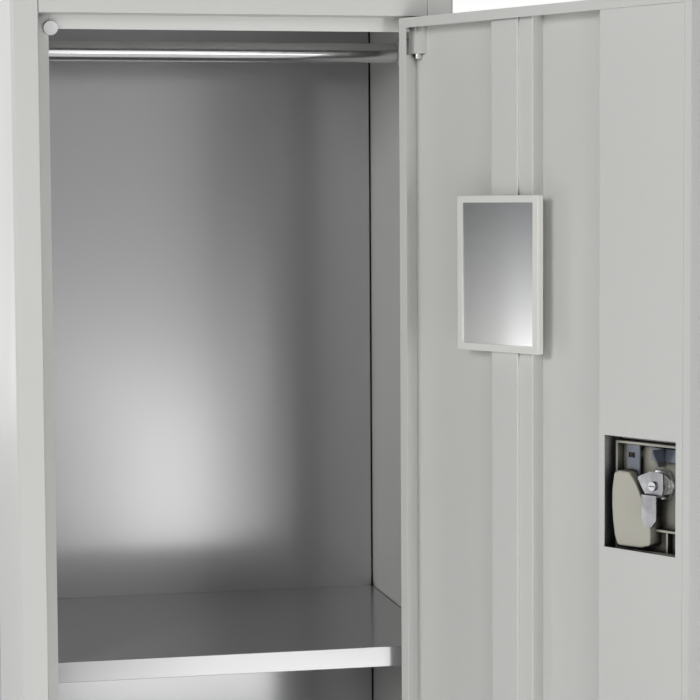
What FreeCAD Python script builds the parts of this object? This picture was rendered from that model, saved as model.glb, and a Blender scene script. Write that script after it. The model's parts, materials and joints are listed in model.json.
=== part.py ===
"""Two-tier steel locker, one column wide, with its upper door standing open.

Frame: millimetres, +Z up, +X to the right of someone facing the doors, +Y towards the back.
The origin is the middle of the base at floor level.

Door pieces are drawn in a frame of their own: e runs across the door from its hinge edge,
g runs inwards from the outer skin, and z runs up from the door's bottom edge. That frame
turns about the hinge pins.
"""
import FreeCAD, Part
import os
import re
import Sketcher

Vector = FreeCAD.Vector

DIMENSIONS = {
    # case
    "width": 380, "depth": 350, "height": 1800, "gauge": 1, "post": 23.3, "rebate": 23,
    "side_flange": 9.9, "rail_flange": 12, "rail": 30, "base": 60, "tier_pitch": 870,
    "rear_lip": 15, "back_inset": 20, "fit_gap": 0.2, "seam": 1.2, "fold": 15, "base_strip": 24,
    "post_bend": 3, "edge_bend": 1.5,
    # shelves and hanging rails
    "shelf_drop": 541.8, "shelf_lip": 18, "shelf_return": 12, "clip_length": 22, "clip_reach": 11,
    "clip_thick": 1.5, "tube_radius": 9, "tube_wall": 1.2, "tube_drop": 9, "tube_back": 10,
    "socket_radius": 14, "socket_plate": 3, "collar_radius": 11.5, "collar_length": 9,
    # bumpers and strikes
    "bumper_radius": 6, "bumper_height": 2.6, "bumper_in": 1.8, "bumper_up": 0.5,
    "stem_radius": 1.2, "gusset": 4.6, "strike_slot": 15, "strike_width": 4, "strike_thick": 1.5,
    # doors
    "door_width": 329, "door_height": 836, "door_thick": 20, "door_gap": 2, "lip": 8.4,
    "lock_lip": 7, "pin_inset": 6, "pin_to_face": 4, "pin_radius": 2, "running": 0.05,
    "bush_radius": 2.95, "bush_flange": 3.9, "bush_length": 5, "open_angle": 118.6,
    "block_drop": 30, "block_deep": 8.2, "block_shallow": 5.6, "block_step": 7.3,
    "block_width": 14.2, "tab_length": 4.5, "tab_width": 2, "pin_tail": 4, "pin_reach": 5,
    # door stiffener
    "rib_start": 108.4, "rib_step": 139.3, "rib_end": 154.7, "rib_high": 15, "rib_low": 13, "foot": 8,
    # lock channel and its window
    "channel_start": 234.7, "channel_end": 321.8, "window_start": 240.7, "window_width": 74.3,
    "window_low": 405.4, "window_height": 88.9,
    # mirror
    "mirror_start": 74, "mirror_width": 95, "mirror_low": 554, "mirror_height": 129.5,
    "mirror_deep": 6.5, "mirror_border": 6, "glass_border": 3, "glass_thick": 2.9,
    # recessed handle
    "bezel_start": 237.5, "bezel_end": 315, "bezel_low": 398, "bezel_high": 494,
    "bezel_thick": 2, "bezel_corner": 6, "cutout_start": 241, "cutout_end": 311.5,
    "cutout_low": 402, "cutout_high": 490.5, "rim_start": 243.4, "rim_end": 311,
    "rim_low": 403, "rim_high": 489.5, "rim_height": 9, "floor": 1.5, "moulding": 1.8,
    "cup_depth": 15.5, "cup_corner": 3, "cup_round": 1.5, "ledge": 421, "ledge_start": 284,
    "web_start": 294.2,
    # clip beside the cup
    "clip_start": 253.4, "clip_end": 266.6, "clip_top": 487, "clip_face": 5.5,
    "clip_hole_start": 255.1, "clip_hole_end": 261.8, "clip_hole_low": 476.8,
    "clip_hole_high": 480.9,
    # bolt
    "bolt_low": 476, "bolt_high": 486, "bolt_start": 277.5, "bolt_end": 328.6, "bolt_face": 4,
    "bolt_thick": 1.5, "drive_tab": 289.6, "drive_low": 472.3, "drive_deep": 11,
    "drive_tip": 18.8,
    # lock
    "lock_e": 288, "lock_z": 457.5, "barrel_radius": 9.5, "barrel_end": 13.2,
    "head_radius": 11, "head_thick": 1.5, "plug_radius": 6, "plug_proud": 0.3,
    "nut_radius": 12.7, "nut_face": 1.6, "nut_thick": 3.5, "cam_face": 13.5, "cam_thick": 1.5,
    "tongue_face": 17, "tongue_reach": 32, "tongue_left": 9, "tongue_right": 6,
    "screw_radius": 3.5, "screw_head": 2, "shank_radius": 1.5,
    # rivets in the back
    "rivet_radius": 4, "rivet_head": 1.2, "rivet_rows": 6,
}

doc = FreeCAD.newDocument("locker")
dims = doc.addObject("Spreadsheet::Sheet", "dims")
for row, (alias, value) in enumerate(DIMENSIONS.items(), start=1):
    dims.set(f"A{row}", alias)
    dims.set(f"B{row}", str(value))
    dims.setAlias(f"B{row}", alias)
doc.recompute()

WORD = re.compile(r"\b[a-z][a-z_]*\b")
AXES = "xyz"
nodes = []


# ---------------------------------------------------------------- helpers

def full(expression):
    """The expression with each dimension's name pointing at its cell."""
    return WORD.sub(lambda m: f"dims.{m[0]}" if m[0] in DIMENSIONS else m[0], str(expression))


def number(expression):
    return float(dims.evalExpression(full(expression)))


def bind(thing, prop, expression):
    thing.setExpression(prop, full(expression))


def move(thing, place):
    for axis, expression in zip(AXES, place):
        bind(thing, f"Placement.Base.{axis}", expression)


def slab(x, y, z):
    """A box from three (low, high) pairs of expressions."""
    box = doc.addObject("Part::Box", "slab")
    for side, (low, high) in zip(("Length", "Width", "Height"), (x, y, z)):
        bind(box, side, f"({high}) - ({low})")
    move(box, (x[0], y[0], z[0]))
    return box


def cylinder(axis, place, radius, length, sides=None):
    """A round bar, or a prism with flat sides, from place along +axis."""
    kind = "Part::Prism" if sides else "Part::Cylinder"
    bar = doc.addObject(kind, "bar")
    if sides:
        bar.Polygon = sides
        bind(bar, "Circumradius", radius)
    else:
        bind(bar, "Radius", radius)
    bind(bar, "Height", length)
    turns = {"x": (Vector(0, 1, 0), 90), "y": (Vector(1, 0, 0), -90), "z": (Vector(0, 0, 1), 0)}
    bar.Placement.Rotation = FreeCAD.Rotation(*turns[axis])
    move(bar, place)
    return bar


def join(pieces):
    if len(pieces) == 1:
        return pieces[0]
    whole = doc.addObject("Part::MultiFuse", "joined")
    whole.Shapes = pieces
    whole.Refine = True
    return whole


def cut(base, tools):
    trimmed = doc.addObject("Part::Cut", "trimmed")
    trimmed.Base = base
    trimmed.Tool = join(tools)
    trimmed.Refine = True
    return trimmed


def group(pieces):
    """Separate solids held together, without changing where each one is."""
    loose = doc.addObject("Part::Compound", "group")
    loose.Links = pieces
    return loose


def rounded(base, wanted, radius):
    """base with the edges that wanted picks out rounded."""
    doc.recompute()
    found = [(index, radius, radius) for index, edge in enumerate(base.Shape.Edges, start=1)
             if wanted(edge)]
    soft = doc.addObject("Part::Fillet", "rounded")
    soft.Base = base
    soft.Edges = found
    return soft


def section(outline, plane, start, length, bends=()):
    """A folded sheet or bar: a sketched outline padded along the normal of its plane.

    bends is a list of (corner numbers, radius) for the corners of the outline to round.
    """
    body = doc.addObject("PartDesign::Body", "section")
    sketch = body.newObject("Sketcher::SketchObject", "outline")
    flat = next(o for o in body.Origin.OriginFeatures if o.Role == plane)
    sketch.AttachmentSupport = [(flat, "")]
    sketch.MapMode = "FlatFace"
    spots = [(number(u), number(v)) for u, v in outline]
    count = len(spots)
    for i in range(count):
        a, b = spots[i], spots[(i + 1) % count]
        sketch.addGeometry(Part.LineSegment(Vector(a[0], a[1], 0), Vector(b[0], b[1], 0)))
    for i in range(count):
        sketch.addConstraint(Sketcher.Constraint("Coincident", i, 2, (i + 1) % count, 1))
    for i, ((u, v), (u_text, v_text)) in enumerate(zip(spots, outline)):
        for kind, value, text, tag in (("DistanceX", u, u_text, "u"), ("DistanceY", v, v_text, "v")):
            index = sketch.addConstraint(Sketcher.Constraint(kind, -1, 1, i, 1, value))
            sketch.renameConstraint(index, f"{tag}{i}")
            bind(sketch, f"Constraints.{tag}{i}", text)
    pad = body.newObject("PartDesign::Pad", "pad")
    pad.Profile = sketch
    bind(pad, "Length", length)
    along = {"XY_Plane": Vector(0, 0, 1), "XZ_Plane": Vector(0, 1, 0)}[plane]
    for corners, radius in bends:
        doc.recompute()
        tip = body.Tip
        wanted = [spots[c] for c in corners]
        names = []
        for index, edge in enumerate(tip.Shape.Edges, start=1):
            ends = [v.Point for v in edge.Vertexes]
            if len(ends) < 2 or (ends[0] - ends[1]).cross(along).Length > 1e-6:
                continue
            p = ends[0]
            u, v = (p.x, p.y) if plane == "XY_Plane" else (p.x, p.z)
            if any(abs(u - a) + abs(v - b) < 1e-4 for a, b in wanted):
                names.append(f"Edge{index}")
        bend = body.newObject("PartDesign::Fillet", "bend")
        bend.Base = (tip, names)
        bind(bend, "Radius", radius)
        body.Tip = bend
    move(body, start)
    return body


def keep(label, thing):
    """Names a finished sub-part of the case."""
    thing.Label = label
    nodes.append(thing)
    return thing


# ---------------------------------------------------------------- case

FRONT = "-depth / 2"
REAR = "depth / 2"
FLANGE = "-depth / 2 + rebate"
INSIDE = "width / 2 - gauge - fit_gap"
SHEET_EDGE = "width / 2 - gauge - seam"
JAMB = "width / 2 - post"
PIN_X = "width / 2 - post - door_gap - pin_inset"
PIN_Y = "-depth / 2 + pin_to_face"
BUMPER_X = "-width / 2 + post + side_flange + bumper_in"
TIERS = {"upper": "0", "lower": "-tier_pitch"}
OPENING_TOP = "height - rail"
OPENING_LOW = "base + tier_pitch"
DOOR_LOW = "base + tier_pitch + door_gap"


def across(reach):
    return (f"-({reach})", reach)


def side_panel(label, sign):
    """Side sheet folded round the front post, into the rebate, and out to the door flange."""
    outer = [("width / 2 - rear_lip", REAR), ("width / 2", REAR), ("width / 2", FRONT),
             (JAMB, FRONT), (JAMB, FLANGE), (f"{JAMB} - side_flange", FLANGE)]
    inner = [(f"{JAMB} - side_flange", f"{FLANGE} + gauge"), (f"{JAMB} + gauge", f"{FLANGE} + gauge"),
             (f"{JAMB} + gauge", f"{FRONT} + gauge"), ("width / 2 - gauge", f"{FRONT} + gauge"),
             ("width / 2 - gauge", f"{REAR} - gauge"), ("width / 2 - rear_lip", f"{REAR} - gauge")]
    outline = [(f"{sign}({x})", y) for x, y in outer + inner]
    bends = [((2,), "post_bend"), ((9,), "post_bend - gauge"), ((1, 3, 7), "edge_bend"),
             ((4, 8, 10), "edge_bend - gauge")]
    panel = section(outline, "XY_Plane", ("0", "0", "gauge"), "height - 2 * gauge", bends)
    if sign == "-":
        slots = []
        for drop in TIERS.values():
            middle = f"{DOOR_LOW} + (bolt_low + bolt_high) / 2 + {drop}"
            slots.append(slab((f"-({JAMB}) - 2 * gauge", f"-({JAMB}) + gauge"), strike_y(), (
                f"{middle} - strike_slot / 2", f"{middle} + strike_slot / 2")))
        panel = cut(panel, slots)
    keep(label, panel)


def strike_y():
    middle = f"{FRONT} + bolt_face + bolt_thick / 2"
    return (f"{middle} - strike_width / 2", f"{middle} + strike_width / 2")


def back_panel():
    """Back sheet with edges folded to the rear and in again behind the side panels' lips."""
    face = "depth / 2 - back_inset"
    seat = f"{REAR} - gauge - fit_gap"
    lip = f"{SHEET_EDGE} - fold + gauge"
    web = f"{SHEET_EDGE} - gauge"
    half = [(SHEET_EDGE, face), (SHEET_EDGE, seat), (lip, seat), (lip, f"{seat} - gauge"),
            (web, f"{seat} - gauge"), (web, f"{face} + gauge")]
    outline = half + [(f"-({x})", y) for x, y in reversed(half)]
    panel = section(outline, "XY_Plane", ("0", "0", "2 * gauge"), "height - 4 * gauge",
                    [((0, 11), "edge_bend")])
    keep("back_panel", panel)


def pivot_hole(z):
    """The hole for a hinge bush in a rail's rebate ledge."""
    return cylinder("z", (PIN_X, PIN_Y, f"{z} - gauge"), "bush_radius", "3 * gauge")


def rail_slabs(low, high, ledges):
    """A rail's face between the posts, with a rebate ledge and a flange at each named edge."""
    reach = f"{JAMB} - fit_gap"
    inner = f"{JAMB} - side_flange - fit_gap"
    pieces = [slab(across(reach), (FRONT, f"{FRONT} + gauge"), (low, high))]
    for z, up in ledges:
        sheet = (f"{z} - gauge", z) if up else (z, f"{z} + gauge")
        tip = (f"{z} - gauge", f"{z} + rail_flange") if up else (f"{z} - rail_flange", f"{z} + gauge")
        pieces.append(slab(across(reach), (FRONT, f"{FLANGE} - fit_gap"), sheet))
        pieces.append(slab(across(inner), (FRONT, f"{FLANGE} + gauge"), sheet))
        pieces.append(slab(across(inner), (FLANGE, f"{FLANGE} + gauge"), tip))
    return pieces


def stem_hole(edge, sign):
    """Clearance for a bumper's stem beside a rail flange's edge."""
    place = (BUMPER_X, f"{FLANGE} - gauge", f"{edge} {sign} bumper_up")
    return cylinder("y", place, "stem_radius + running", "3 * gauge")


def top_panel():
    lid = slab(across("width / 2"), (FRONT, REAR), ("height - gauge", "height"))
    deep = (f"{FLANGE} + 2 * gauge", "depth / 2 - back_inset - fold")
    down = ("height - gauge - fold", "height - gauge / 2")
    sides = [slab((f"-({INSIDE})", f"-({INSIDE}) + gauge"), deep, down),
             slab((f"{INSIDE} - gauge", INSIDE), deep, down)]
    rail = rail_slabs(OPENING_TOP, "height - gauge / 2", [(OPENING_TOP, False)])
    holes = [pivot_hole(OPENING_TOP), stem_hole(f"{OPENING_TOP} - rail_flange", "+")]
    keep("top_panel", cut(join([lid] + sides + rail), holes))


def tier_rail():
    low = f"{OPENING_LOW} - rail"
    rail = rail_slabs(low, OPENING_LOW, [(OPENING_LOW, True), (low, False)])
    holes = [pivot_hole(OPENING_LOW), pivot_hole(low),
             stem_hole(f"{OPENING_LOW} + rail_flange", "-"), stem_hole(f"{low} - rail_flange", "+")]
    keep("tier_rail", cut(join(rail), holes))


def base_rail():
    rail = rail_slabs("gauge", "base", [("base", True)])
    keep("base_rail", cut(join(rail), [pivot_hole("base"), stem_hole("base + rail_flange", "-")]))


def pan(label, top, edge):
    """A tray turned upside down: a flat top with its four edges folded down."""
    front = f"{FLANGE} + gauge + fit_gap"
    back = "depth / 2 - back_inset - fit_gap"
    down = (f"{top} - {edge}", f"{top}")
    pieces = [slab(across(SHEET_EDGE), (front, back), (f"{top} - gauge", top)),
              slab(across(SHEET_EDGE), (front, f"{front} + gauge"), down),
              slab(across(SHEET_EDGE), (f"{back} - gauge", back), down),
              slab((f"-({SHEET_EDGE})", f"-({SHEET_EDGE}) + gauge"), (front, back), down),
              slab((f"{SHEET_EDGE} - gauge", SHEET_EDGE), (front, back), down)]
    if label.endswith("shelf"):
        low = f"{top} - {edge}"
        pieces.append(slab(across(SHEET_EDGE), (front, f"{front} + shelf_return"), (low, f"{low} + gauge")))
    keep(label, join(pieces))


def base_frame():
    """Flat ring under the case, which is what stands on the floor."""
    ring = slab(across("width / 2"), (FRONT, REAR), ("0", "gauge"))
    hole = slab(across("width / 2 - base_strip"), (f"{FRONT} + base_strip", f"{REAR} - base_strip"),
                ("-gauge", "2 * gauge"))
    keep("base_frame", cut(ring, [hole]))


def beside(wall, near, far, sign):
    """The (low, high) pair between two distances in from a side wall, on either side."""
    if sign == "-":
        return (f"-({wall}) + {near}", f"-({wall}) + {far}")
    return (f"{wall} - {far}", f"{wall} - {near}")


def shelf_clips():
    """An L-shaped clip on the side walls under each corner of each shelf."""
    clips = []
    wall = "width / 2 - gauge - fit_gap / 2"
    for drop in TIERS.values():
        seat = f"height - rail - rail_flange - shelf_drop - shelf_lip - fit_gap + {drop}"
        for sign in "-+":
            for y in (f"{FLANGE} + 3 * fold", "depth / 2 - back_inset - 3 * fold - clip_length"):
                span = (y, f"{y} + clip_length")
                upright = slab(beside(wall, "0", "clip_thick", sign), span, (f"{seat} - fold", seat))
                ledge = slab(beside(wall, "0", "clip_reach", sign), span,
                             (f"{seat} - clip_thick", seat))
                clips.append(join([upright, ledge]))
    keep("shelf_clips", group(clips))


def hanging_rails():
    """Tubes across each tier, and the flanged sockets that hold their ends."""
    sockets = []
    wall = "width / 2 - gauge - fit_gap / 2"
    half = f"{wall} - socket_plate / 2"
    for tier, drop in TIERS.items():
        z = f"height - rail - rail_flange - tube_drop + {drop}"
        y = "-tube_back"
        tube = cylinder("x", (f"-({half})", y, z), "tube_radius", f"2 * ({half})")
        bore = cylinder("x", (f"-({half}) - 1", y, z), "tube_radius - tube_wall", f"2 * ({half}) + 2")
        keep(f"{tier}_hanging_rail", cut(tube, [bore]))
        for sign in "-+":
            plate = beside(wall, "0", "socket_plate", sign)
            neck = beside(wall, "0", "(socket_plate + collar_length)", sign)
            mouth = beside(wall, "socket_plate / 2", "4 * collar_length", sign)
            disc = cylinder("x", (plate[0], y, z), "socket_radius", "socket_plate")
            collar = cylinder("x", (neck[0], y, z), "collar_radius", "socket_plate + collar_length")
            hole = cylinder("x", (mouth[0], y, z), "tube_radius + running",
                            "4 * collar_length - socket_plate / 2")
            sockets.append(cut(join([disc, collar]), [hole]))
    keep("rail_sockets", group(sockets))


def bumpers():
    """Rubber door buffers at the lock side's corners, and the gussets that back them."""
    plates = []
    buffers = []
    corner = f"-({JAMB}) + side_flange + fit_gap"
    for drop in TIERS.values():
        for edge, up in ((f"{OPENING_TOP} - rail_flange", "+"), (f"{OPENING_LOW} + rail_flange", "-")):
            edge = f"{edge} + {drop}"
            down = "-" if up == "+" else "+"
            root = f"{edge} {down} fit_gap"
            outline = [(corner, root), (f"{corner} + gusset", root),
                       (f"{corner} + gusset", f"{root} {down} gauge"),
                       (f"{corner} + gauge", f"{root} {down} gusset"),
                       (corner, f"{root} {down} gusset")]
            plate = section(outline, "XZ_Plane", ("0", f"{FLANGE} + gauge", "0"), "gauge")
            plates.append(cut(plate, [stem_hole(edge, up)]))
            z = f"{edge} {up} bumper_up"
            disc = cylinder("y", (BUMPER_X, f"{FLANGE} - bumper_height", z), "bumper_radius",
                            "bumper_height")
            stem = cylinder("y", (BUMPER_X, f"{FLANGE} - 0.1", z), "stem_radius", "gauge + 0.2")
            buffers.append(join([disc, stem]))
    keep("corner_plates", group(plates))
    keep("door_bumpers", group(buffers))


def strike_plates():
    plates = []
    wall = f"{JAMB} + gauge + fit_gap / 2"
    for drop in TIERS.values():
        middle = f"{DOOR_LOW} + (bolt_low + bolt_high) / 2 + {drop}"
        plate = slab((f"-({wall}) - strike_thick", f"-({wall})"),
                     (f"{FRONT} + gauge + 3 * fit_gap", f"{FLANGE} - 2 * gauge"),
                     (f"{middle} - strike_slot", f"{middle} + strike_slot"))
        slot = slab((f"-({wall}) - 2 * strike_thick", f"-({wall}) + gauge"), strike_y(),
                    (f"{middle} - strike_slot / 2", f"{middle} + strike_slot / 2"))
        plates.append(cut(plate, [slot]))
    keep("strike_plates", group(plates))


def hinge_bushes():
    """Nylon bushes in the rails, which the doors' pivot pins turn in."""
    bushes = []
    for drop in TIERS.values():
        for ledge, sign in ((f"{OPENING_TOP} + {drop}", 1), (f"{OPENING_LOW} + {drop}", -1)):
            flange = f"{ledge} - gauge" if sign > 0 else ledge
            body_low = f"{ledge} - gauge" if sign > 0 else f"{ledge} + gauge - bush_length"
            collar = cylinder("z", (PIN_X, PIN_Y, flange), "bush_flange", "gauge")
            body = cylinder("z", (PIN_X, PIN_Y, body_low), "bush_radius - running", "bush_length")
            bore = cylinder("z", (PIN_X, PIN_Y, f"{body_low} - 1"), "pin_radius + running",
                            "bush_length + 2")
            bushes.append(cut(join([collar, body]), [bore]))
    keep("hinge_bushes", group(bushes))


def back_rivets():
    """Rivet heads down the two rear lips."""
    rivets = []
    rows = int(DIMENSIONS["rivet_rows"])
    for row in range(rows):
        z = f"base + (height - 2 * base) * {row} / {rows - 1}"
        for sign in "-+":
            x = f"{sign}(width / 2 - rear_lip / 2)"
            rivets.append(cylinder("y", (x, REAR, z), "rivet_radius", "rivet_head"))
    keep("back_rivets", group(rivets))


# ---------------------------------------------------------------- doors

def on_door(e, g, z):
    """The x, y, z pairs of a slab that is given across, into and up the door."""
    x = tuple(f"{v} - pin_inset" for v in e)
    y = (f"pin_to_face - ({g[1]})", f"pin_to_face - ({g[0]})")
    return x, y, z


def door_slab(e, g, z):
    return slab(*on_door(e, g, z))


def door_round(e, z, g, radius, sides=None):
    """A bar or prism square to the door, between two depths."""
    place = (f"{e} - pin_inset", f"pin_to_face - ({g[1]})", z)
    return cylinder("y", place, radius, f"({g[1]}) - ({g[0]})", sides)


def pivot(z, length, radius):
    return cylinder("z", ("0", "0", z), radius, length)


def door_section(outline, bends, low, length):
    spots = [(f"{e} - pin_inset", f"pin_to_face - ({g})") for e, g in outline]
    return section(spots, "XY_Plane", ("0", "0", low), length, bends)


def door_plate(outline, g, bends=()):
    """A plate square to the door, from an (e, z) outline, between two depths."""
    spots = [(f"{e} - pin_inset", z) for e, z in outline]
    start = ("0", f"pin_to_face - ({g[0]})", "0")
    return section(spots, "XZ_Plane", start, f"({g[1]}) - ({g[0]})", bends)


def door_panel():
    """Outer skin with its edges folded in, and a lip folded over at the inner face."""
    whole_e = ("0", "door_width")
    whole_z = ("0", "door_height")
    depth = ("0", "door_thick")
    inner = ("door_thick - gauge", "door_thick")
    pieces = [door_slab(whole_e, ("0", "gauge"), whole_z),
              door_slab(("0", "gauge"), depth, whole_z),
              door_slab(("door_width - gauge", "door_width"), depth, whole_z),
              door_slab(whole_e, depth, ("0", "gauge")),
              door_slab(whole_e, depth, ("door_height - gauge", "door_height")),
              door_slab(("0", "lip"), inner, whole_z),
              door_slab(("door_width - lock_lip", "door_width"), inner, whole_z),
              door_slab(whole_e, inner, ("0", "lip")),
              door_slab(whole_e, inner, ("door_height - lip", "door_height"))]
    hollow = join(pieces)
    handle = door_slab(("cutout_start", "cutout_end"), ("-1", "2 * gauge"), ("cutout_low", "cutout_high"))
    bolt_way = door_slab(("door_width - 2 * gauge", "door_width + gauge"),
                         ("bolt_face - 0.6", "bolt_face + bolt_thick + 0.6"),
                         ("bolt_low - 1", "bolt_high + 1"))
    slots = [door_slab(("-1", "2 * gauge"), ("block_deep + 0.2", "door_thick * 0.65"), span)
             for span in (("lip + gauge", "block_drop + gauge"),
                          ("door_height - block_drop - gauge", "door_height - lip - gauge"))]
    pins = [pivot("-1", "3 * gauge", "pin_radius + running"),
            pivot("door_height - 2 * gauge", "3 * gauge", "pin_radius + running")]
    panel = cut(hollow, [handle, bolt_way] + slots + pins)
    edges = (number("-pin_inset"), number("door_width - pin_inset"))
    face = number("pin_to_face")

    def outer_upright(edge):
        ends = [v.Point for v in edge.Vertexes]
        upright = len(ends) == 2 and (ends[0] - ends[1]).cross(Vector(0, 0, 1)).Length < 1e-6
        return upright and abs(ends[0].y - face) < 1e-4 and min(
            abs(ends[0].x - x) for x in edges) < 1e-4

    return rounded(panel, outer_upright, number("edge_bend - 0.6"))


def stiffener():
    outline = [("rib_start + foot", "gauge"), ("rib_start", "gauge"), ("rib_start", "rib_high"),
               ("rib_step", "rib_high"), ("rib_step", "rib_low"), ("rib_end", "rib_low"),
               ("rib_end", "gauge"), ("rib_end - foot", "gauge"), ("rib_end - foot", "2 * gauge"),
               ("rib_end - gauge", "2 * gauge"), ("rib_end - gauge", "rib_low - gauge"),
               ("rib_step - gauge", "rib_low - gauge"), ("rib_step - gauge", "rib_high - gauge"),
               ("rib_start + gauge", "rib_high - gauge"), ("rib_start + gauge", "2 * gauge"),
               ("rib_start + foot", "2 * gauge")]
    rib = door_section(outline, [((2, 3, 5), "gauge")], "gauge + fit_gap",
                       "door_height - 2 * gauge - 2 * fit_gap")
    return group([rib])


def lock_channel():
    inner = "door_thick - gauge"
    outline = [("channel_start + foot", "gauge"), ("channel_start", "gauge"),
               ("channel_start", "door_thick"), ("channel_end", "door_thick"),
               ("channel_end", "door_thick - foot"), ("channel_end - gauge", "door_thick - foot"),
               ("channel_end - gauge", inner), ("channel_start + gauge", inner),
               ("channel_start + gauge", "2 * gauge"), ("channel_start + foot", "2 * gauge")]
    channel = door_section(outline, [((2, 3), "gauge")], "lip + fit_gap",
                           "door_height - 2 * lip - 2 * fit_gap")
    window = door_slab(("window_start", "window_start + window_width"),
                       ("door_thick - 2 * gauge", "door_thick + gauge"),
                       ("window_low", "window_low + window_height"))
    return cut(channel, [window])


def hinge_blocks():
    """Stepped blocks in the door's hinge-side corners, each bored for a pivot pin."""
    blocks = []
    near = "gauge + fit_gap / 2"
    spans = [(("door_height - block_drop", "door_height - gauge - fit_gap"),
              ("door_height - block_drop - tab_length", "door_height - block_drop")),
             (("gauge + fit_gap", "block_drop"), ("block_drop", "block_drop + tab_length"))]
    for span, tab in spans:
        body = join([door_slab((near, "block_step"), (near, "block_deep"), span),
                     door_slab(("block_step", "block_width"), (near, "block_shallow"), span),
                     door_slab(("block_step - gauge / 2", "block_step + tab_width"),
                               (near, "block_shallow"), tab)])
        low = span[0] if tab[0] == "block_drop" else tab[0]
        bore = pivot(f"{low} - 1", "block_drop + tab_length + 2", "pin_radius + running")
        blocks.append(cut(body, [bore]))
    return group(blocks)


def hinge_pins():
    length = "block_drop + pin_tail + pin_reach"
    return group([pivot("door_height - block_drop - pin_tail", length, "pin_radius"),
                  pivot("-pin_reach", length, "pin_radius")])


def mirror_frame():
    end_e = "mirror_start + mirror_width"
    end_z = "mirror_low + mirror_height"
    face = "rib_high + mirror_deep"
    outer = door_slab(("mirror_start", end_e), ("rib_high", face), ("mirror_low", end_z))
    sight = door_slab(("mirror_start + mirror_border", f"{end_e} - mirror_border"),
                      (f"{face} - mirror_deep / 2", f"{face} + 1"),
                      ("mirror_low + mirror_border", f"{end_z} - mirror_border"))
    seat = door_slab(("mirror_start + glass_border", f"{end_e} - glass_border"),
                     (f"{face} - gauge - glass_thick - 2 * running", f"{face} - gauge"),
                     ("mirror_low + glass_border", f"{end_z} - glass_border"))
    return cut(outer, [sight, seat])


def mirror_glass():
    side = "glass_border + running"
    face = "rib_high + mirror_deep - gauge - running"
    pane = door_slab((f"mirror_start + {side}", f"mirror_start + mirror_width - ({side})"),
                     (f"{face} - glass_thick", face),
                     (f"mirror_low + {side}", f"mirror_low + mirror_height - ({side})"))
    return group([pane])


def cup_outline(wall):
    """The finger cup's (e, z) outline moved in by wall, narrowed to clear the lock."""
    corners = [(247, 464.6), (252, 466.8), (262.2, 466.3), (268.5, 459), (276.9, 445.7),
               (283.4, 431), (284.7, 424.5), (284.7, 410.4), (275, 407.7), (251, 407),
               (247.6, 415), (245.6, 427), (244.7, 439), (244.8, 451)]
    loop = Part.makePolygon([Vector(e, z, 0) for e, z in corners + corners[:1]])
    if wall:
        loop = loop.makeOffset2D(-wall, 2)
    ordered = Part.Wire(loop).OrderedVertexes
    return [(round(v.X, 3), round(v.Y, 3)) for v in ordered]


def cup_solid(wall, start, end, corner, back):
    """The cup's block or its hollow, with rounded corners and a rounded back."""
    spots = cup_outline(wall)
    block = door_plate(spots, (start, end), [(range(len(spots)), corner)])
    depth = number(f"pin_to_face - ({end})")

    def at_the_back(edge):
        return all(abs(v.Point.y - depth) < 1e-4 for v in edge.Vertexes)

    return rounded(block, at_the_back, number(back))


def handle_housing():
    """Moulded handle: bezel outside, floor and rim through the skin, and the finger cup."""
    bezel_box = [("bezel_start", "bezel_low"), ("bezel_end", "bezel_low"),
                 ("bezel_end", "bezel_high"), ("bezel_start", "bezel_high")]
    bezel = door_plate(bezel_box, ("-bezel_thick", "0"), [((0, 1, 2, 3), "bezel_corner")])
    rim = cut(door_slab(("rim_start", "rim_end"), ("-0.1", "rim_height"), ("rim_low", "rim_high")),
              [door_slab(("rim_start + moulding", "rim_end - moulding"), ("floor", "2 * rim_height"),
                         ("rim_low + moulding", "rim_high - moulding"))])
    ledge = door_slab(("ledge_start", "rim_end - gauge"), ("0", "rim_height - gauge"),
                      ("ledge", "ledge + moulding"))
    web = door_slab(("web_start", "web_start + moulding"), ("0", "rim_height - 2 * gauge"),
                    ("rim_low + gauge", "ledge + gauge"))
    shell = cup_solid(0, "-bezel_thick / 2", "cup_depth", "cup_corner", "cup_round")
    hollow = cup_solid(number("moulding"), "-2 * bezel_thick", "cup_depth - moulding",
                       "cup_corner / 2", "cup_round / 2")
    bore = door_round("lock_e", "lock_z", ("-2 * bezel_thick", "4 * floor"), "barrel_radius + running")
    way = door_slab(("rim_end - 2 * moulding", "rim_end + 1"), ("bolt_face - 1", "rim_height + 1"),
                    ("bolt_low - 1", "bolt_high + 1"))
    return cut(join([bezel, rim, ledge, web, shell]), [hollow, bore, way])


def housing_clip():
    """Steel plate standing off the handle's floor beside the cup, on one folded foot."""
    g = ("clip_face", "clip_face + gauge * 1.5")
    outline = [("clip_start", "clip_top - 19.4"), ("clip_end - 3.8", "clip_top - 19.8"),
               ("clip_end", "clip_top - 24.5"), ("clip_end", "clip_top"), ("clip_start", "clip_top")]
    foot = door_slab(("clip_start", "clip_end"), ("floor", g[1]), ("clip_top - 1.5 * gauge", "clip_top"))
    hole = door_slab(("clip_hole_start", "clip_hole_end"), ("clip_face - 1", "clip_face + 3"),
                     ("clip_hole_low", "clip_hole_high"))
    return cut(join([door_plate(outline, g), foot]), [hole])


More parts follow.
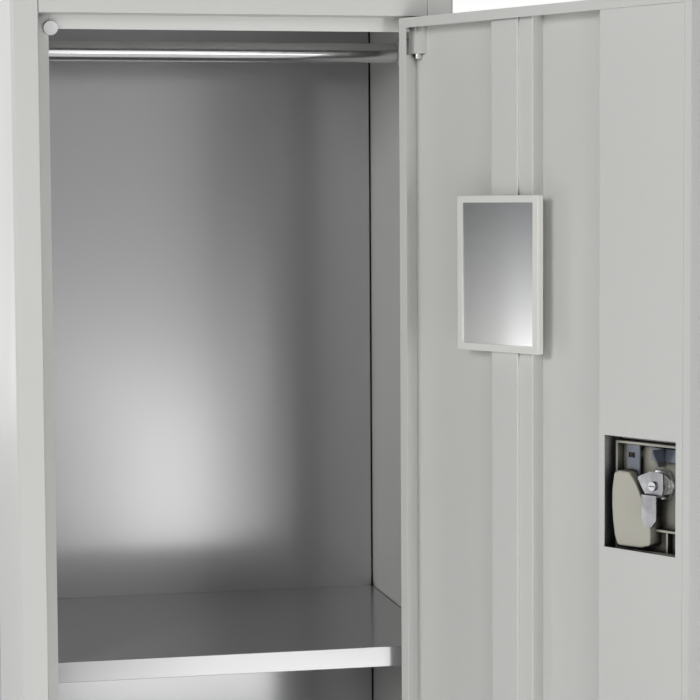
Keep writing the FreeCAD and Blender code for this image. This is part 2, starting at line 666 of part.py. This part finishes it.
def latch_bolt():
    """Strip that slides out of the door's edge, with an upright tab the cam's tongue pushes."""
    bar = door_slab(("bolt_start", "bolt_end"), ("bolt_face", "bolt_face + bolt_thick"),
                    ("bolt_low", "bolt_high"))
    tab = ("drive_tab", "drive_tab + bolt_thick")
    upright = door_slab(tab, ("bolt_face", "drive_deep"), ("drive_low", "bolt_high"))
    x, y, z = on_door(tab, ("drive_deep", "drive_tip"), ("drive_low", "bolt_high"))
    sides = {"Xmin": x[0], "X2min": x[0], "Xmax": x[1], "X2max": x[1], "Ymin": y[0], "Ymax": y[1],
             "Zmin": f"{z[1]} - gauge", "Zmax": z[1], "Z2min": z[0], "Z2max": z[1]}
    slope = doc.addObject("Part::Wedge", "slope")
    for side, place in sides.items():
        bind(slope, side, place)
    return join([bar, upright, slope])


def lock_barrel():
    head = door_round("lock_e", "lock_z", ("-bezel_thick - head_thick", "-bezel_thick"), "head_radius")
    tube = door_round("lock_e", "lock_z", ("-bezel_thick", "barrel_end"), "barrel_radius")
    bore = door_round("lock_e", "lock_z", ("-bezel_thick - 3", "barrel_end + 1"), "plug_radius + running")
    return cut(join([head, tube]), [bore])


def lock_nut():
    nut = door_round("lock_e", "lock_z", ("nut_face", "nut_face + nut_thick"), "nut_radius", 6)
    bore = door_round("lock_e", "lock_z", ("0", "2 * nut_face + nut_thick"), "barrel_radius + running")
    return cut(nut, [bore])


def lock_plug():
    front = "-bezel_thick - head_thick - plug_proud"
    bar = door_round("lock_e", "lock_z", (front, "cam_face"), "plug_radius")
    keyway = door_slab(("lock_e - 0.7", "lock_e + 0.7"), (f"{front} - 1", "8"),
                       ("lock_z - 4", "lock_z + 4"))
    tapped = door_round("lock_e", "lock_z", ("cam_face - 5", "cam_face + 1"), "shank_radius + running")
    return cut(bar, [keyway, tapped])


def cam():
    """Cam plate on the plug's end, stepped inwards to a tongue that hangs below it."""
    plate = [("lock_e - 16.8", "lock_z + 5.7"), ("lock_e - 3.3", "lock_z + 11.3"),
             ("lock_e + 9.8", "lock_z + 10.5"), ("lock_e + 10.2", "lock_z - 2"),
             ("lock_e + 8", "lock_z - 9.3"), ("lock_e - 6.3", "lock_z - 9.9"),
             ("lock_e - 11.5", "lock_z - 2.5")]
    left = "lock_e - tongue_left"
    right = "lock_e + tongue_right"
    root = "lock_z - 7"
    tip = "lock_z - tongue_reach"
    tongue = [(left, root), (left, f"{tip} + 5"), (f"{left} + 4.5", tip), (f"{right} - 5", tip),
              (right, f"{tip} + 6"), (right, root)]
    back = "cam_face + cam_thick"
    base = door_plate(plate, ("cam_face", back), [(range(7), "edge_bend")])
    jog = door_slab((left, right), ("cam_face", "tongue_face + cam_thick"),
                    (f"{root} - cam_thick", root))
    flat = door_plate(tongue, ("tongue_face", "tongue_face + cam_thick"),
                      [((1, 2, 3, 4), "2 * edge_bend")])
    hole = door_round("lock_e", "lock_z", ("cam_face - 1", f"{back} + 1"), "shank_radius + running")
    return cut(join([base, jog, flat]), [hole])


def cam_screw():
    top = "cam_face + cam_thick"
    head = door_round("lock_e", "lock_z", (top, f"{top} + screw_head"), "screw_radius")
    shank = door_round("lock_e", "lock_z", ("cam_face - 4.5", f"{top} + 0.5"), "shank_radius")
    slot = door_slab(("lock_e - 3", "lock_e + 3"), (f"{top} + screw_head / 2", f"{top} + 2 * screw_head"),
                     ("lock_z - 0.5", "lock_z + 0.5"))
    return cut(join([head, shank]), [slot])


DOOR_PIECES = {
    "door_panel": door_panel, "door_stiffener": stiffener, "lock_channel": lock_channel,
    "hinge_blocks": hinge_blocks, "hinge_pins": hinge_pins, "mirror_frame": mirror_frame,
    "mirror_glass": mirror_glass, "handle_housing": handle_housing, "housing_clip": housing_clip,
    "latch_bolt": latch_bolt, "lock_barrel": lock_barrel, "lock_nut": lock_nut,
    "lock_plug": lock_plug, "cam": cam, "cam_screw": cam_screw,
}


def door(tier, drop, angle):
    """All of one door's pieces, turned about the hinge pins to the stated opening."""
    for name, make in DOOR_PIECES.items():
        piece = keep(f"{tier}_{name}", make())
        piece.Placement.Rotation = FreeCAD.Rotation(Vector(0, 0, 1), 1)
        bind(piece, "Placement.Rotation.Angle", f"{angle} - 180")
        move(piece, (PIN_X, PIN_Y, f"{DOOR_LOW} + {drop}"))


# ---------------------------------------------------------------- build and write

def build():
    side_panel("left_side_panel", "-")
    side_panel("right_side_panel", "+")
    back_panel()
    top_panel()
    tier_rail()
    base_rail()
    base_frame()
    pan("tier_floor", f"{OPENING_LOW} + rail_flange", "fold")
    pan("base_floor", "base + rail_flange", "fold")
    for tier, drop in TIERS.items():
        pan(f"{tier}_shelf", f"height - rail - rail_flange - shelf_drop + {drop}", "shelf_lip")
    shelf_clips()
    hanging_rails()
    bumpers()
    strike_plates()
    hinge_bushes()
    back_rivets()
    door("upper", "0", "open_angle")
    door("lower", "-tier_pitch", "0")


def check_and_write():
    doc.recompute()
    for thing in doc.Objects:
        if "Invalid" in thing.State or "Error" in thing.State:
            raise RuntimeError(f"{thing.Name} ({thing.Label}) failed: {thing.State}")
    os.makedirs("parts", exist_ok=True)
    for thing in nodes:
        if thing.Shape.isNull() or not thing.Shape.isValid():
            raise RuntimeError(f"{thing.Label} has no valid shape")
        thing.Shape.exportStep(f"parts/{thing.Label}.step")
        box = thing.Shape.BoundBox
        print(f"{thing.Label:24s} solids {len(thing.Shape.Solids)} volume {thing.Shape.Volume:10.1f}"
              f" x {box.XMin:8.2f} {box.XMax:8.2f} y {box.YMin:8.2f} {box.YMax:8.2f}"
              f" z {box.ZMin:8.2f} {box.ZMax:8.2f}")


build()
check_and_write()
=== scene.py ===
"""Looks, light and camera for the two-tier steel locker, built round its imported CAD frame."""

import json
import math

import bmesh
import bpy
from mathutils import Matrix, Vector


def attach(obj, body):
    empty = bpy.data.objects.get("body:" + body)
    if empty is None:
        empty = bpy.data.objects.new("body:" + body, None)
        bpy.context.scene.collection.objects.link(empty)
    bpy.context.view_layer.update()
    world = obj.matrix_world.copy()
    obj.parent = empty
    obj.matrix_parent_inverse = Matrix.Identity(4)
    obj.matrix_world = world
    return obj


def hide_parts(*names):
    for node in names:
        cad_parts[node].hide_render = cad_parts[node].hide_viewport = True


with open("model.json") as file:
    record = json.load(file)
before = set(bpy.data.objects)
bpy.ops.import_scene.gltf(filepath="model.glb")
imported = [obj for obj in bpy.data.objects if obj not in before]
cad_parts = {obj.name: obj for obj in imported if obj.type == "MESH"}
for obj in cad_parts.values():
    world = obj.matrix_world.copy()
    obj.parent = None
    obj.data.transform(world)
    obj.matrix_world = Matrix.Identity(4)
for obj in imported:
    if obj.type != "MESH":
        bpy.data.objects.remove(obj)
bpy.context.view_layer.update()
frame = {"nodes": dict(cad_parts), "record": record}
nodes = frame["nodes"]


# ---------------------------------------------------------------- materials

def linear(value):
    """A display value from 0 to 255 as a linear one."""
    v = value / 255
    return v / 12.92 if v <= 0.04045 else ((v + 0.055) / 1.055) ** 2.4


def rgb(r, g, b):
    return (linear(r), linear(g), linear(b), 1.0)


NOISE_DETAIL = 2
GRAIN_DEPTH = 0.0002


class Finish:
    """A finish's node tree, with short calls for the nodes used here."""

    def __init__(self, name, roughness, metallic=0.0, coat=0.0, coat_roughness=0.12, coat_ior=1.5):
        self.data = bpy.data.materials.new(name)
        self.data.use_nodes = True
        self.tree = self.data.node_tree
        self.shader = self.tree.nodes["Principled BSDF"]
        for socket, value in (("Roughness", roughness), ("Metallic", metallic), ("Coat Weight", coat),
                              ("Coat Roughness", coat_roughness), ("Coat IOR", coat_ior)):
            self.shader.inputs[socket].default_value = value

    def node(self, kind, inputs=(), **settings):
        made = self.tree.nodes.new(kind)
        for name, value in settings.items():
            setattr(made, name, value)
        for name, value in dict(inputs).items():
            if isinstance(value, bpy.types.NodeSocket):
                self.tree.links.new(value, made.inputs[name])
            else:
                made.inputs[name].default_value = value
        return made

    def noise(self, scale, stretch=None):
        """Noise fixed to the piece, drawn out along an axis where stretch says so."""
        where = self.node("ShaderNodeTexCoord").outputs["Object"]
        if stretch:
            where = self.node("ShaderNodeMapping", {"Vector": where, "Scale": stretch}).outputs["Vector"]
        return self.node("ShaderNodeTexNoise",
                         {"Vector": where, "Scale": scale, "Detail": NOISE_DETAIL}).outputs["Fac"]

    def mix(self, share, low, high):
        """A colour between low and high; each may be a colour or another node's socket."""
        mixed = self.node("ShaderNodeMix", {0: share, 6: low, 7: high}, data_type="RGBA")
        return mixed.outputs[2]

    def grain(self, scale, strength, stretch=None):
        """Fine unevenness in the surface."""
        bump = self.node("ShaderNodeBump", {"Height": self.noise(scale, stretch=stretch),
                                            "Strength": strength, "Distance": GRAIN_DEPTH})
        self.tree.links.new(bump.outputs["Normal"], self.shader.inputs["Normal"])

    def colour(self, low, high, scale, painted_shade=None, reach=0.02, shut=0.12, clear=0.5):
        """A colour that drifts between two close shades, with painted shade darkening it in tight
        corners.

        The painted shade shows fully where the share of open air within reach is below shut, and not at
        all above clear.
        """
        out = self.mix(self.noise(scale), low, high)
        if painted_shade:
            # painted shade: ambient occlusion pulls the colour towards the shade colour in tight corners
            air = self.node("ShaderNodeAmbientOcclusion", {"Distance": reach}, samples=8).outputs["AO"]
            lit = self.node("ShaderNodeMapRange", {"Value": air, "From Min": shut, "From Max": clear})
            out = self.mix(lit.outputs["Result"], painted_shade, out)
        self.tree.links.new(out, self.shader.inputs["Base Color"])

    def uneven(self, scale, low, high):
        """Roughness that varies a little over the surface."""
        level = self.node("ShaderNodeMapRange", {"Value": self.noise(scale), "From Min": 0.3,
                                                 "From Max": 0.7, "To Min": low, "To Max": high})
        self.tree.links.new(level.outputs["Result"], self.shader.inputs["Roughness"])


def enamel(name="enamel", reach=0.015, shut=0.22, clear=0.5):
    """Light grey powder coat with a faint orange peel, and painted shade in corners within reach."""
    f = Finish(name, 0.40)
    f.colour(rgb(216, 216, 213), rgb(222, 222, 219), 3, painted_shade=rgb(38, 38, 40), reach=reach,
             shut=shut, clear=clear)
    f.grain(700, 0.10)
    f.uneven(5, 0.36, 0.44)
    return f.data


def shaded_inner_enamel():
    """The same coat where it shows its gloss, on the case's wide inner sheets, painted darker than the
    outer coat as painted shade for the dim inside of the case, with painted shade in corners too.
    """
    f = Finish("shaded_inner_enamel", 0.45, coat=1.0, coat_roughness=0.16, coat_ior=3.0)
    f.colour(rgb(142, 142, 145), rgb(147, 147, 150), 3, painted_shade=rgb(30, 30, 32), reach=0.016)
    f.grain(500, 0.035)
    return f.data


def mirror():
    """Silvered glass, a little veiled, with a painted reflection: its colour runs from white at the
    bottom to grey at the top.
    """
    f = Finish("mirror", 0.14, metallic=0.5)
    across = f.node("ShaderNodeTexCoord").outputs["Generated"]
    height = f.node("ShaderNodeSeparateXYZ", {"Vector": across}).outputs["Z"]
    # painted reflection: the glass colour is lighter at the bottom and darker at the top
    painted_reflection = f.mix(height, rgb(255, 255, 255), rgb(166, 168, 170))
    f.tree.links.new(painted_reflection, f.shader.inputs["Base Color"])
    return f.data


def moulded(name, low, high, roughness, painted_shade=None, reach=0.014):
    """Smooth moulded plastic with a fine spark-eroded texture, and painted shade in corners where a
    shade colour is given.
    """
    f = Finish(name, roughness)
    f.colour(low, high, 30, painted_shade=painted_shade, reach=reach, shut=0.25, clear=0.7)
    f.grain(1800, 0.12)
    return f.data


def plated(name, low, high, roughness, brushed=(1, 1, 12), strength=0.12):
    """Plated steel with the drawing marks left in it, and painted shade in its corners."""
    f = Finish(name, roughness, metallic=1.0)
    f.colour(low, high, 120, painted_shade=rgb(30, 30, 32), reach=0.006, shut=0.25, clear=0.7)
    f.grain(420, strength, stretch=brushed)
    f.uneven(60, roughness - 0.06, roughness + 0.06)
    return f.data


LOOKS = {
    "enamel": enamel(),
    "mirror": mirror(),
    "mirror_trim": moulded("mirror_trim", rgb(233, 234, 228), rgb(238, 239, 233), 0.32),
    # handle_plastic and nylon carry a painted shade colour for their corners and hollows.
    "handle_plastic": moulded("handle_plastic", rgb(193, 191, 178), rgb(199, 197, 184), 0.38,
                              painted_shade=rgb(20, 19, 17), reach=0.030),
    "latch_steel": plated("latch_steel", rgb(122, 127, 136), rgb(150, 155, 164), 0.40),
    "cam_steel": plated("cam_steel", rgb(92, 92, 96), rgb(182, 182, 184), 0.26),
    "lock_chrome": plated("lock_chrome", rgb(226, 227, 228), rgb(234, 235, 236), 0.12, strength=0.02),
    "rail_chrome": plated("rail_chrome", rgb(220, 220, 221), rgb(228, 228, 229), 0.15, (12, 1, 1), 0.02),
    "zinc": plated("zinc", rgb(206, 208, 210), rgb(220, 222, 224), 0.30),
    "bumper_rubber": moulded("bumper_rubber", rgb(240, 241, 241), rgb(246, 247, 247), 0.35),
    "nylon": moulded("nylon", rgb(222, 222, 214), rgb(228, 228, 220), 0.40, painted_shade=rgb(44, 44, 42)),
    "socket_plastic": moulded("socket_plastic", rgb(208, 208, 205), rgb(214, 214, 211), 0.35),
}
SHADED_INNER = shaded_inner_enamel()
INNER_NODES = ("back_panel", "upper_shelf", "lower_shelf", "tier_floor", "base_floor")
# The same enamel with a wide shade reach: painted shade darkens the cavity behind the lock window.
PAINTED_CAVITY_SHADE = enamel("enamel_painted_cavity_shade", 0.050, 0.30, 0.48)
SLOTS = {s["node"]: s["material_slot"] for s in frame["record"]["subparts"]}
BODY = {n: b for b, members in frame["record"]["behaviour"]["bodies"].items() for n in members}


def paint(obj, look):
    obj.data.materials.clear()
    obj.data.materials.append(look)


# The case's inner sheets take the darker copy of the coat: painted shade for the inside of the case.
for name, obj in nodes.items():
    paint(obj, SHADED_INNER if name in INNER_NODES else LOOKS[SLOTS[name]])
# The lock channels take the enamel with painted cavity shade.
for name in ("upper_lock_channel", "lower_lock_channel"):
    paint(nodes[name], PAINTED_CAVITY_SHADE)


# ---------------------------------------------------------------- softened copies of the folded sheets

CUT_EDGE = 0.0012
FOLD_ANGLE = math.radians(35)
FLAT_ANGLE = math.radians(1)
FOLD_STEPS = 3
SAME_POINT = 1e-6
NEAR_POINT = 1e-5


def folded(edge):
    """True where two faces wider than a sheet's cut edge meet at a corner."""
    wide = all(face.calc_area() / max(e.calc_length() for e in face.edges) > CUT_EDGE
               for face in edge.link_faces)
    return wide and len(edge.link_faces) == 2 and edge.calc_face_angle(0) > FOLD_ANGLE


def softened(name, width):
    """A copy of a CAD piece with its folds rounded, shown in its place."""
    copy = bpy.data.objects.new(f"{name}_soft", nodes[name].data.copy())
    bpy.context.collection.objects.link(copy)
    work = bmesh.new()
    work.from_mesh(copy.data)
    bmesh.ops.remove_doubles(work, verts=work.verts, dist=SAME_POINT)
    bmesh.ops.dissolve_limit(work, angle_limit=FLAT_ANGLE, verts=work.verts, edges=work.edges)
    folds = [edge for edge in work.edges if folded(edge)]
    for face in work.faces:
        face.smooth = False
    rounded = bmesh.ops.bevel(work, geom=folds, offset=width, segments=FOLD_STEPS, profile=0.6,
                              affect="EDGES", clamp_overlap=True)
    bmesh.ops.remove_doubles(work, verts=work.verts, dist=NEAR_POINT)
    for face in rounded["faces"]:
        if face.is_valid:
            face.smooth = True
    work.to_mesh(copy.data)
    work.free()
    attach(copy, BODY[name])
    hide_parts(name)


CASE_SHEETS = ("top_panel", "tier_rail", "base_rail", "upper_shelf", "lower_shelf", "tier_floor",
               "base_floor", "left_side_panel", "right_side_panel")
DOOR_SOFT = {"door_panel": 0.0012, "door_stiffener": 0.0012, "lock_channel": 0.0010,
             "mirror_frame": 0.0006, "hinge_blocks": 0.0007, "cam": 0.0004}
SOFT_WIDTH = dict.fromkeys(CASE_SHEETS, 0.0010)
for tier in ("upper", "lower"):
    SOFT_WIDTH.update({f"{tier}_{piece}": width for piece, width in DOOR_SOFT.items()})
for name, width in SOFT_WIDTH.items():
    softened(name, width)


# ---------------------------------------------------------------- studio

def area_light(name, place, target, size, power):
    """A rectangular lamp at place, turned towards target; size in metres, power in watts."""
    data = bpy.data.lights.new(name, "AREA")
    data.shape = "RECTANGLE"
    data.size, data.size_y = size
    data.energy = power
    light = bpy.data.objects.new(name, data)
    bpy.context.collection.objects.link(light)
    light.location = place
    light.rotation_mode = "QUATERNION"
    light.rotation_quaternion = (Vector(target) - Vector(place)).to_track_quat("-Z", "Y")


SKY_RAMPS = (("X", -0.95, -0.3, 0.12, 0.0), ("Z", -0.085, 0.005, 0.8, 0.0), ("Y", 0.1, 0.7, 0.03, 1.0))


def sky():
    """A dim room, bright behind the locker, with a faint bright left side and low horizon."""
    world = bpy.data.worlds.new("studio")
    world.use_nodes = True
    tree = world.node_tree
    background = tree.nodes["Background"]
    background.inputs["Color"].default_value = (1, 1, 1, 1)
    coords = tree.nodes.new("ShaderNodeTexCoord")
    split = tree.nodes.new("ShaderNodeSeparateXYZ")
    tree.links.new(coords.outputs["Generated"], split.inputs["Vector"])
    total = None
    for axis, low, high, at_low, at_high in SKY_RAMPS:
        level = tree.nodes.new("ShaderNodeMapRange")
        level.interpolation_type = "SMOOTHSTEP"
        for socket, value in (("From Min", low), ("From Max", high),
                              ("To Min", at_low), ("To Max", at_high)):
            level.inputs[socket].default_value = value
        tree.links.new(split.outputs[axis], level.inputs["Value"])
        if total is None:
            total = level.outputs["Result"]
            continue
        both = tree.nodes.new("ShaderNodeMath")
        tree.links.new(total, both.inputs[0])
        tree.links.new(level.outputs["Result"], both.inputs[1])
        total = both.outputs["Value"]
    tree.links.new(total, background.inputs["Strength"])
    bpy.context.scene.world = world


FLOOR_REACH = 14.0
LAMPS = (("key", (-2.2, -2.55, 2.3), (0.1, -0.2, 1.4), (1.0, 1.0), 36),
         ("side", (-2.6, 2.3, 1.5), (-0.19, 0.0, 1.3), (1.2, 2.0), 15))
PANEL_DISTANCE = -1.9
PANEL_LOW = 0.80
PANEL_RIGHT = 0.35
PANELS = ((0.17, 1.20, 0.46), (0.06, 1.30, 0.40), (-0.04, 1.40, 0.13))
FILLS = (("shelf_glow", (0.36, -1.9, 0.74), (0.36, 0, 0.74), (0.72, 0.28), 1.9),
         ("front_wash", (-0.40, -2.4, 1.60), (-0.40, 0, 1.60), (1.66, 1.6), 4.6),
         ("right_front", (1.25, -2.6, 1.35), (0.0, 0.0, 1.4), (0.5, 1.0), 14.5),
         ("mirror_glow", (-2.2, 0.2, 0.95), (0.24, -0.33, 1.5), (0.5, 0.7), 2.2),
         ("overhead", (0.6, 2.2, 4.5), (0.3, 1.2, 0.0), (3.0, 3.0), 60))


def floor():
    """A plain pale floor that stays put in every pose."""
    mesh = bpy.data.meshes.new("floor")
    corners = [(-1, -1), (1, -1), (1, 1), (-1, 1)]
    mesh.from_pydata([(FLOOR_REACH * x, FLOOR_REACH * y, 0) for x, y in corners], [], [(0, 1, 2, 3)])
    plane = bpy.data.objects.new("floor", mesh)
    bpy.context.collection.objects.link(plane)
    pale = Finish("floor", 0.6)
    pale.colour(rgb(236, 236, 236), rgb(240, 240, 240), 1)
    paint(plane, pale.data)


def studio():
    """Floor, sky and lamps. The low panels overlap, so the gloss they leave fades towards the left."""
    floor()
    sky()
    for lamp in LAMPS:
        area_light(*lamp)
    for left, top, power in PANELS:
        x, z = (left + PANEL_RIGHT) / 2, (PANEL_LOW + top) / 2
        size = (PANEL_RIGHT - left, top - PANEL_LOW)
        area_light("low_panel", (x, PANEL_DISTANCE, z), (x, 0, z), size, power)
    for lamp in FILLS:
        area_light(*lamp)
    bpy.context.scene.view_settings.view_transform = "Standard"


# ---------------------------------------------------------------- camera

EYE = (-0.29516, -2.03436, 1.61483)
YAW, PITCH, ROLL = 11.9, -3.98, -0.35
LENS = 113.14
SENSOR = 36


def camera():
    """Eye level, just left of the locker, looking slightly down into the open upper tier."""
    yaw, pitch, roll = (math.radians(a) for a in (YAW, PITCH, ROLL))
    forward = Vector((math.sin(yaw) * math.cos(pitch), math.cos(yaw) * math.cos(pitch), math.sin(pitch)))
    level = Vector((math.cos(yaw), -math.sin(yaw), 0))
    upward = level.cross(forward)
    right = math.cos(roll) * level + math.sin(roll) * upward
    up = math.cos(roll) * upward - math.sin(roll) * level
    data = bpy.data.cameras.new("camera")
    data.lens = LENS
    data.sensor_width = SENSOR
    eye = bpy.data.objects.new("camera", data)
    bpy.context.collection.objects.link(eye)
    turn = Matrix((right, up, -forward)).transposed().to_4x4()
    eye.matrix_world = Matrix.Translation(EYE) @ turn
    bpy.context.scene.camera = eye


studio()
camera()
